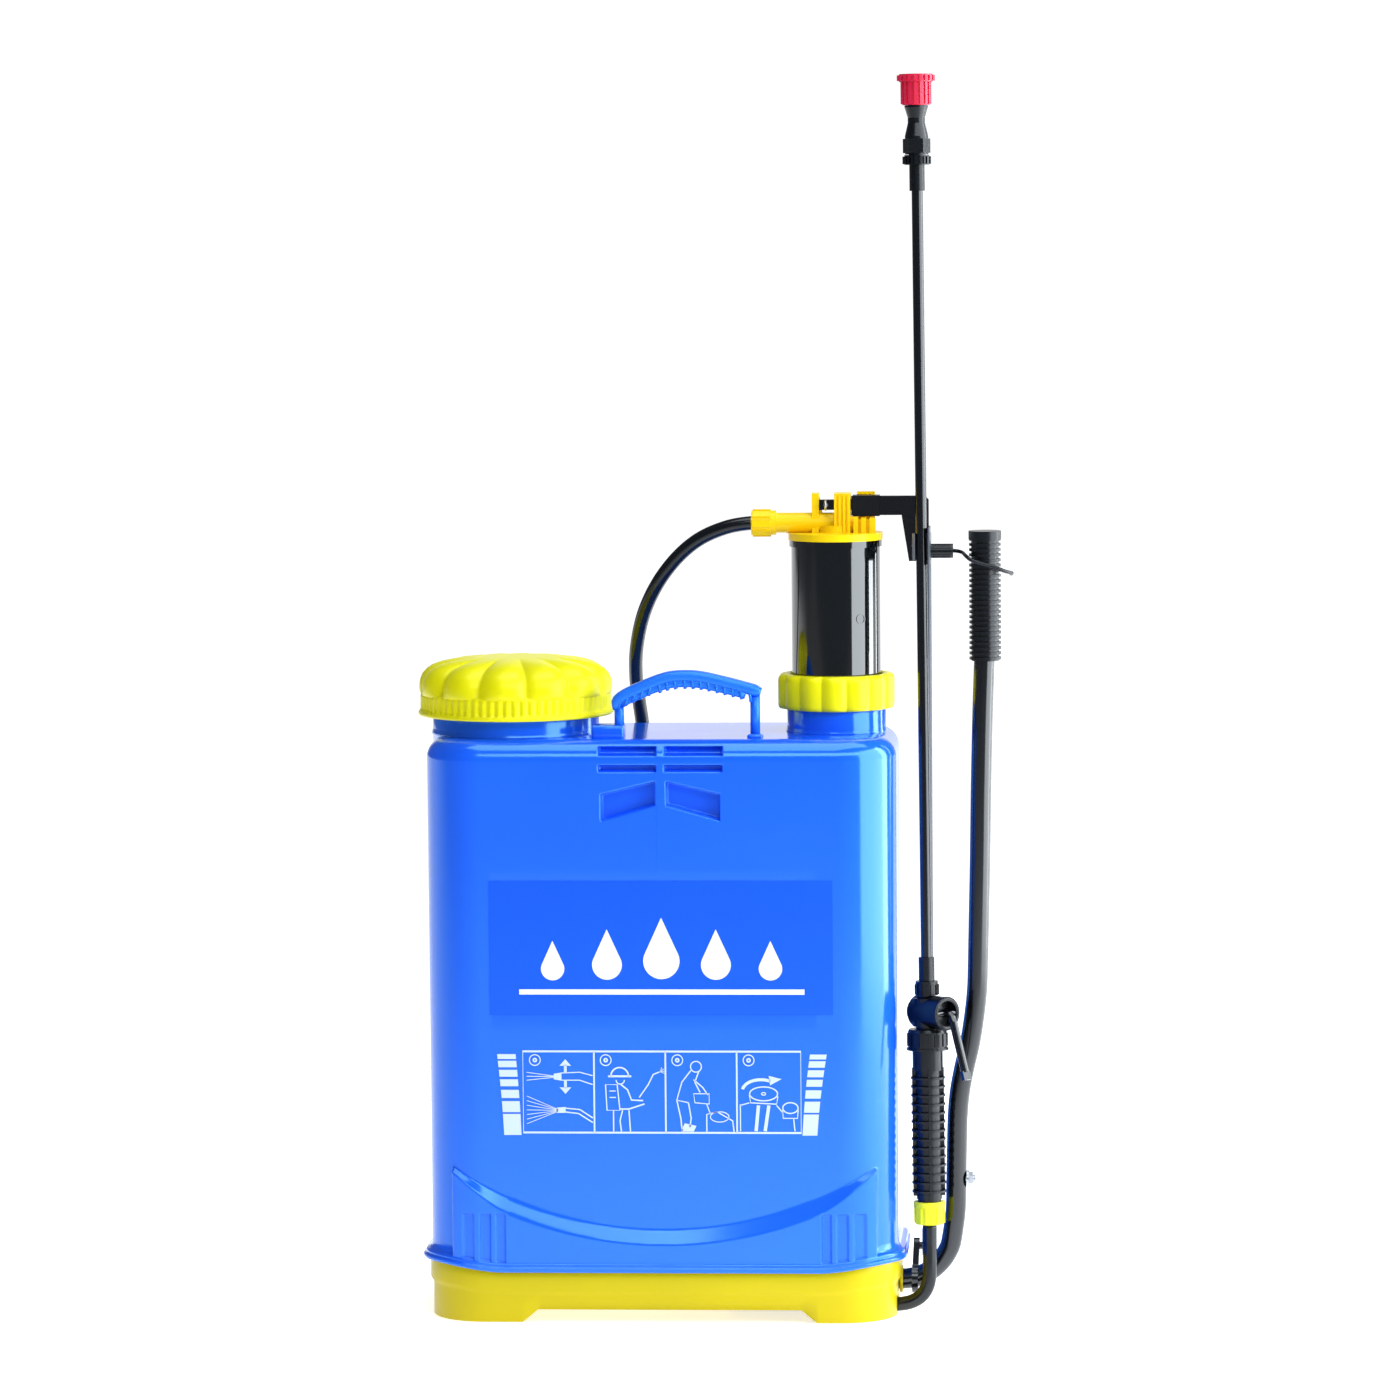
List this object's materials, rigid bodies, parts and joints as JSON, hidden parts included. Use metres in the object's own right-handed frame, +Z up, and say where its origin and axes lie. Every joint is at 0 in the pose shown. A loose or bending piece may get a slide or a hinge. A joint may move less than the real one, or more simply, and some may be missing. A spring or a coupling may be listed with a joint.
{
  "type": "backpack sprayer",
  "caption": "Lever-pumped backpack sprayer: blue tank on a yellow base, screw caps, side pump lever, hose, trigger gun and upright lance.",
  "frame": {"origin": "centre of the bounding box at floor level, hose left out", "axes": "+X to the lever side, +Y to the wearer's back, +Z up"},
  "size_m": [0.4644, 0.211, 0.9601],
  "materials": {
    "tank_blue": "glossy blow-moulded polyethylene",
    "base_yellow": "satin moulded plastic",
    "handle_blue": "satin moulded plastic",
    "cap_yellow": "satin moulded plastic",
    "head_yellow": "satin moulded plastic",
    "nut_yellow": "satin moulded plastic",
    "chamber_black": "glossy moulded plastic",
    "black_plastic": "matte moulded plastic",
    "grip_black": "ribbed soft plastic",
    "natural_plastic": "natural polypropylene",
    "label_blue": "printed film",
    "print_white": "printed ink",
    "nozzle_red": "satin moulded plastic",
    "black_rubber": "matte rubber",
    "hose_black": "smooth reinforced hose",
    "leather_cup": "oiled leather",
    "black_metal": "satin black paint",
    "dark_steel": "grey-black plated steel",
    "grey_steel": "zinc-plated sheet",
    "bright_steel": "zinc-plated steel",
    "brass_core": "turned brass",
    "pad_fabric": "woven cover on foam",
    "webbing_black": "woven webbing"
  },
  "bodies": {
    "frame": {"tank": "tank_blue", "base": "base_yellow", "base_screws": "bright_steel", "carry_handle": "handle_blue", "strainer": "black_plastic", "pump_collar": "cap_yellow", "collar_bush": "black_rubber", "pump_barrel": "natural_plastic", "foot_strainer": "black_plastic", "gun_nut": "nut_yellow", "gun_grip": "grip_black", "gun_collar": "black_plastic", "valve_body": "black_plastic", "union_nut": "black_plastic", "lance_tube": "black_metal", "lance_sleeve": "black_plastic", "nozzle_nut": "black_plastic", "nozzle_body": "black_plastic", "swirl_core": "brass_core", "front_label": "label_blue", "label_print": "print_white", "strip_print": "print_white", "hose_lower": "hose_black", "strap_bracket": "black_plastic", "shoulder_pads": "pad_fabric", "upper_webbing": "webbing_black", "lower_webbing": "webbing_black", "strap_buckles": "black_plastic"},
    "gasket": {"cap_gasket": "black_rubber"},
    "cap": {"filler_cap": "cap_yellow"},
    "pump": {"air_chamber": "chamber_black", "plunger_tube": "bright_steel", "piston": "black_plastic", "piston_cup": "leather_cup", "pump_head": "head_yellow", "head_seal": "black_rubber", "outlet_nut": "head_yellow", "rocker_arm": "black_metal", "arm_sleeve": "black_plastic", "cotter_pin": "bright_steel", "link_rod": "dark_steel", "rod_bolt": "bright_steel", "lance_clip": "grey_steel", "clip_knob": "black_plastic", "hose_upper": "hose_black"},
    "lever": {"lever_tube": "black_metal", "crank_arm": "black_metal", "pin_clip": "bright_steel", "lever_grip": "grip_black", "lever_screw": "bright_steel"},
    "hook": {"retaining_hook": "black_plastic"},
    "foot_ball": {"foot_valve_ball": "bright_steel"},
    "top_ball": {"outlet_ball": "bright_steel"},
    "valve_pin": {"valve_pin": "bright_steel"},
    "trigger": {"trigger": "black_metal"},
    "nozzle_cap": {"nozzle_cap": "nozzle_red"}
  },
  "joints": [
    {"name": "filler_cap_lift", "type": "slide", "parent": "frame", "child": "gasket", "axis": [0, 0, 1], "range_m": [0, 0.0125]},
    {"name": "filler_cap_turn", "type": "hinge", "parent": "gasket", "child": "cap", "pos_m": [-0.1562, -0.0155, 0.48], "axis": [0, 0, 1], "range_deg": [0, 720]},
    {"name": "lever_swing", "type": "hinge", "parent": "frame", "child": "lever", "pos_m": [0.1438, -0.0355, 0.024], "axis": [-1, 0, 0], "range_deg": [0, 45]},
    {"name": "pump_slide", "type": "slide", "parent": "frame", "child": "pump", "axis": [0, 0, -1], "range_m": [0, 0.0368], "deforming": ["hose_upper"]},
    {"name": "hook_swing", "type": "hinge", "parent": "pump", "child": "hook", "pos_m": [0.1848, -0.0295, 0.5926], "axis": [1, 0, 0], "range_deg": [-50, 0]},
    {"name": "trigger_squeeze", "type": "hinge", "parent": "frame", "child": "trigger", "pos_m": [0.17864, -0.06331, 0.23652], "axis": [0.7072, 0.7069, -0.013], "range_deg": [0, 15], "stiffness_Nm_per_rad": 0.3, "springref_deg": -5.73},
    {"name": "valve_pin_slide", "type": "slide", "parent": "frame", "child": "valve_pin", "axis": [-0.7069, 0.7069, -0.0241], "range_m": [0, 0.00125]},
    {"name": "nozzle_cap_turn", "type": "hinge", "parent": "frame", "child": "nozzle_cap", "pos_m": [0.15893, -0.0306, 0.94527], "axis": [-0.0079, 0.0262, 0.9996], "range_deg": [0, 270]},
    {"name": "foot_ball_lift", "type": "slide", "parent": "frame", "child": "foot_ball", "axis": [0, 0, 1], "range_m": [0, 0.003]},
    {"name": "top_ball_lift", "type": "slide", "parent": "pump", "child": "top_ball", "axis": [0, 0, 1], "range_m": [0, 0.003]}
  ],
  "couplings": [
    {"joint": "filler_cap_lift", "follows": "filler_cap_turn", "m_per_rad": 0.000955},
    {"joint": "pump_slide", "follows": "lever_swing", "m_per_rad": 0.046776},
    {"joint": "valve_pin_slide", "follows": "trigger_squeeze", "m_per_rad": 0.004584}
  ]
}
